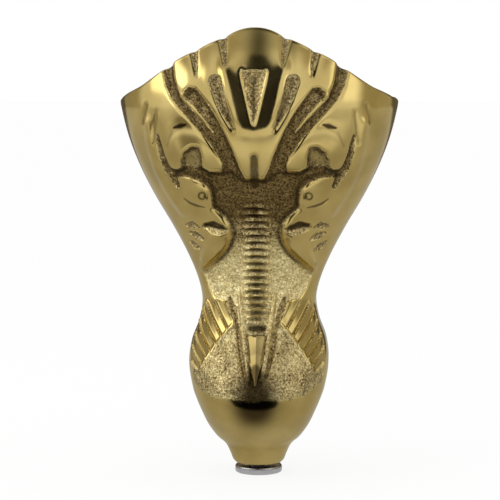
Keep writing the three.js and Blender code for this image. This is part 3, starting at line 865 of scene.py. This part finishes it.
# Colours of the brass: two tones of the polished metal, and of each kind of ground the darker and the
# brighter flecks of its grain. The flecks are partly the grain's own tone and partly painted: painted
# shade in its pits and painted glints on its peaks.
POLISHED = (0.51, 0.385, 0.135), (0.66, 0.51, 0.2)
BRIGHT_CAST = (0.54, 0.41, 0.15), (1.0, 0.88, 0.5)
MIDDLE_CAST = (0.12, 0.08, 0.028), (0.76, 0.6, 0.29)
BROWN_CAST = (0.06, 0.036, 0.012), (0.29, 0.205, 0.08)
# The near black of the painted shade and painted black reflections.
PAINTED_SHADE_COLOUR = (0.035, 0.022, 0.008)
GRAIN_FINENESS = 1450
LUMP_FINENESS = 230
TONE_FINENESS = 60
WAVE_FINENESS = 45
LUMP_SHARE = 0.8
LUMP_HEIGHT = 3.0
WAVE_HEIGHT = 1.3
BUMP_DEPTH = 0.42

brass = Finish("polished_brass")
place = brass.place()
fine = brass.noise(place, GRAIN_FINENESS, 2.0, 0.6, 0.7)
lumps = brass.noise(place, LUMP_FINENESS, 2.0)
broad = brass.noise(place, TONE_FINENESS, 3.0)
waves = brass.noise(place, WAVE_FINENESS, 0.0)
unevenness = (lumps - 0.5) * LUMP_SHARE
# How much painted shade each point gets.
painted_shade_share = brass.attribute("recess").between(0.0, 0.7)
cast = (brass.attribute("grain") + unevenness).between(0.3, 0.7)
tarnish = brass.attribute("tarnish") + unevenness
# The flecks follow the grain's bumps: painted shade in the pits, painted glints on the peaks.
speckle = fine.between(0.36, 0.64)
polished = brass.mix(broad.between(0.3, 0.7), *POLISHED)
bright_cast = brass.mix(speckle, *BRIGHT_CAST)
middle_cast = brass.mix(speckle, *MIDDLE_CAST)
brown_cast = brass.mix(speckle, *BROWN_CAST)
# The ground's three colours follow its patina and painted shade: the brightest where it is least, at
# the waist, and the brownest between the heads.
rough = brass.mix(tarnish.between(0.0, 0.5), bright_cast, middle_cast)
rough = brass.mix(tarnish.between(0.5, 1.0), rough, brown_cast)
colour = brass.mix(cast, polished, rough)
# Painted shade and painted black reflections, mixed in towards near black.
colour = brass.mix(painted_shade_share * 0.95, colour, PAINTED_SHADE_COLOUR)
brass.feed(brass.shader.inputs["Base Color"], colour)
brass.shader.inputs["Metallic"].default_value = 1
brass.feed(brass.shader.inputs["Roughness"], 0.13 + 0.05 * broad + cast * 0.17)
grain_height = (fine - 0.5 + (lumps - 0.5) * LUMP_HEIGHT) * cast
brass.bump(grain_height + waves * WAVE_HEIGHT, BUMP_DEPTH * MM)
casting.data.materials.clear()
casting.data.materials.append(brass.material)
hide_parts("foot_casting")
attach(casting, "casting")


# Levelling screw.
# A turned steel screw, three-eighths of an inch, that threads up into the ball. Its round pad
# stands on the floor.
PAD_RADIUS = 9.5
PAD_THICKNESS = 3
PAD_EDGE = 0.8
PAD_EDGE_STEPS = 5
PAD_SIDES = 96
THREAD_RADIUS = 4.7
THREAD_ROOT = 3.95
THREAD_PITCH = 25.4 / 16
SCREW_LENGTH = 25
THREAD_SLOPE = 2.4
POINT_HEIGHT = 1.2
POINT_TAPER = 0.4
THREAD_ROWS = 133
THREAD_COLUMNS = 48
SCREW_CREASE = 35 # degrees

screw_top = PAD_THICKNESS + SCREW_LENGTH
thread_depth = THREAD_RADIUS - THREAD_ROOT
thread_heights = np.linspace(PAD_THICKNESS / 2, screw_top, THREAD_ROWS)[:, None]
turned = np.arange(THREAD_COLUMNS) / THREAD_COLUMNS
phase = (thread_heights / THREAD_PITCH - turned) % 1
radius = THREAD_ROOT + thread_depth * np.clip(THREAD_SLOPE * np.abs(phase - 0.5), 0, 1)
point = np.clip((screw_top - thread_heights) / POINT_HEIGHT, 0, 1)
radius = np.minimum(radius, THREAD_ROOT + thread_depth * point - POINT_TAPER * (1 - point))
angle = 2 * np.pi * turned
thread_rings = np.stack([
    radius * np.cos(angle), radius * np.sin(angle), np.repeat(thread_heights, THREAD_COLUMNS, 1),
], -1)
screw = loft("turned_screw", thread_rings)

pad = rod("pad", PAD_RADIUS, 0, PAD_THICKNESS, 0, PAD_SIDES)
bpy.ops.object.mode_set(mode="EDIT")
bpy.ops.mesh.select_all(action="DESELECT")
bpy.ops.object.mode_set(mode="OBJECT")
for edge in pad.data.edges:
    a, b = (pad.data.vertices[i].co for i in edge.vertices)
    edge.select = abs(a.z - b.z) < 1e-6
bpy.ops.object.mode_set(mode="EDIT")
bpy.ops.mesh.select_mode(type="EDGE")
bpy.ops.mesh.bevel(offset=PAD_EDGE * MM, segments=PAD_EDGE_STEPS, profile=0.5)
bpy.ops.object.mode_set(mode="OBJECT")
combine(screw, pad, "UNION")
select_only(screw)
bpy.ops.object.shade_smooth_by_angle(angle=math.radians(SCREW_CREASE))

STEEL = (0.27, 0.26, 0.27), (0.5, 0.49, 0.5)
WEAR_FINENESS = 500
WEAR_DEPTH = 0.1

steel = Finish("turned_steel")
wear = steel.noise(steel.place(), WEAR_FINENESS, 4.0, 0.6)
steel.shader.inputs["Metallic"].default_value = 1
steel.feed(steel.shader.inputs["Base Color"], steel.mix(wear, *STEEL))
steel.feed(steel.shader.inputs["Roughness"], 0.22 + 0.15 * wear)
steel.bump(wear, WEAR_DEPTH * MM, 0.4)
screw.data.materials.clear()
screw.data.materials.append(steel.material)
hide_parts("levelling_screw")
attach(screw, "screw")


# Studio.
# A pale floor, a white surround that the metal mirrors, soft lamps, and black and grey cards out of
# shot that give the polished brass its black reflections. A grey sheet over the floor, seen only in
# reflections, paints the floor's shade there, with a brighter strip in front.
FLOOR_SIZE = 8
FLOOR_WHITENESS = 0.85

floor_finish = Finish("pale_floor")
straight = floor_finish.add("ShaderNodeLightPath", output="Is Camera Ray")
mirrored_ray = floor_finish.add("ShaderNodeLightPath", output="Is Glossy Ray")
shown = (straight + mirrored_ray) * FLOOR_WHITENESS
lit = Socket(floor_finish, floor_finish.shader.outputs[0])
white = floor_finish.add("ShaderNodeEmission", inputs={"Color": (1, 1, 1, 1), "Strength": 1.0})
floor_finish.shader.inputs["Base Color"].default_value = (0.9, 0.9, 0.9, 1)
floor_finish.shader.inputs["Roughness"].default_value = 0.9
surface = floor_finish.add("ShaderNodeMixShader", inputs=[shown, lit, white])
floor_finish.feed(floor_finish.output.inputs["Surface"], surface)
bpy.ops.object.select_all(action="DESELECT")
bpy.ops.mesh.primitive_plane_add(size=FLOOR_SIZE)
floor = bpy.context.object
floor.name = "floor"
floor.data.materials.append(floor_finish.material)

world = bpy.data.worlds.new("white_surround")
bpy.context.scene.world = world
world.use_nodes = True
sky = world.node_tree.nodes["Background"]
sky.inputs["Color"].default_value = (1, 1, 1, 1)
sky.inputs["Strength"].default_value = 1.0


def card(name, place, facing, size, tone, softness):
    """A soft-edged card, seen only in reflections."""
    bpy.ops.object.select_all(action="DESELECT")
    bpy.ops.mesh.primitive_plane_add(size=1)
    piece = bpy.context.object
    piece.name = name
    turned = Vector(facing).to_track_quat("Z", "Y").to_matrix().to_4x4()
    piece.matrix_world = Matrix.Translation(place) @ turned @ Matrix.Diagonal((*size, 1, 1))
    paint = Finish(name)
    spot = paint.place()
    across = abs(paint.add("ShaderNodeSeparateXYZ", inputs=[spot], output=0))
    along = abs(paint.add("ShaderNodeSeparateXYZ", inputs=[spot], output=1))
    solid = (0.5 - across).between(0.0, softness[0]) * (0.5 - along).between(0.0, softness[1])
    clear = paint.add("ShaderNodeBsdfTransparent")
    glow = paint.add("ShaderNodeEmission", inputs={"Color": (*tone, 1), "Strength": 1.0})
    surface = paint.add("ShaderNodeMixShader", inputs=[solid, clear, glow])
    paint.feed(paint.output.inputs["Surface"], surface)
    piece.data.materials.append(paint.material)
    piece.visible_camera = False
    piece.visible_diffuse = False
    piece.visible_shadow = False


BLACK = (0.008, 0.008, 0.008)
WARM_GREY = (0.5, 0.46, 0.38)
# Each card's name, place and facing, its size in metres, its tone, and how soft its edges are.
CARDS = [
    ("front_card", (0.002, -0.27, 0.235), (0, 1, 0), (0.115, 0.48), BLACK, (0.1, 0.08)),
    ("high_card", (0, -0.32, 0.58), (0, 0.56, -0.83), (0.4, 0.52), (0.12, 0.12, 0.11), (0.5, 0.2)),
    ("low_card", (-0.003, -0.06, 0.0345), (0, 1, 0), (0.096, 0.031), BLACK, (0.15, 0.12)),
    ("side_card", (-0.255, -0.2, 0.03), (0.8, 0.6, 0), (0.17, 0.2), (0.22, 0.2, 0.15), (0.35, 0.35)),
    ("back_card", (0, 0.7, 0.3), (0, -1, 0), (3.2, 1.4), (0.13, 0.115, 0.08), (0.1, 0.1)),
    ("left_card", (-0.75, 0.46, 0.25), (0.75, -0.1, 0), (0.86, 1.3), (0.42, 0.39, 0.3), (0.16, 0.3)),
    ("upper_left_card", (-0.36, -0.2, 0.62), (0.5, 0.29, -0.72), (0.6, 0.6), WARM_GREY, (0.3, 0.3)),
    ("upper_right_card", (0.36, -0.2, 0.62), (-0.5, 0.29, -0.72), (0.6, 0.6), WARM_GREY, (0.3, 0.3)),
    ("right_card", (0.75, 0.2, 0.4), (-0.75, -0.1, 0), (1.0, 1.6), (0.5, 0.46, 0.36), (0.2, 0.12)),
    # The grey sheet paints the floor's shade in reflections; the strip after it is brighter.
    ("floor_shade_sheet", (0, 0.1, 0.002), (0, 0, 1), (3.0, 2.6), (0.5, 0.48, 0.42), (0.4, 0.4)),
    ("floor_light", (0, -0.25, 0.004), (0, 0, 1), (1.4, 0.32), (0.95, 0.94, 0.9), (0.3, 0.45)),
]
for settings in CARDS:
    card(*settings)


def lamp(name, place, size, power):
    """A soft box aimed at the middle of the foot."""
    data = bpy.data.lights.new(name, "AREA")
    data.shape = "RECTANGLE"
    data.size, data.size_y = size
    data.energy = power
    box = bpy.data.objects.new(name, data)
    place = Vector(place)
    facing = (place - AIM).to_track_quat("Z", "Y").to_matrix().to_4x4()
    box.matrix_world = Matrix.Translation(place) @ facing
    bpy.context.scene.collection.objects.link(box)


lamp("left_box", (-0.75, -0.35, 0.5), (0.6, 0.7), 2.3)
lamp("right_box", (0.8, -0.25, 0.5), (0.5, 0.8), 0.8)

bpy.context.scene.view_settings.view_transform = "Standard"
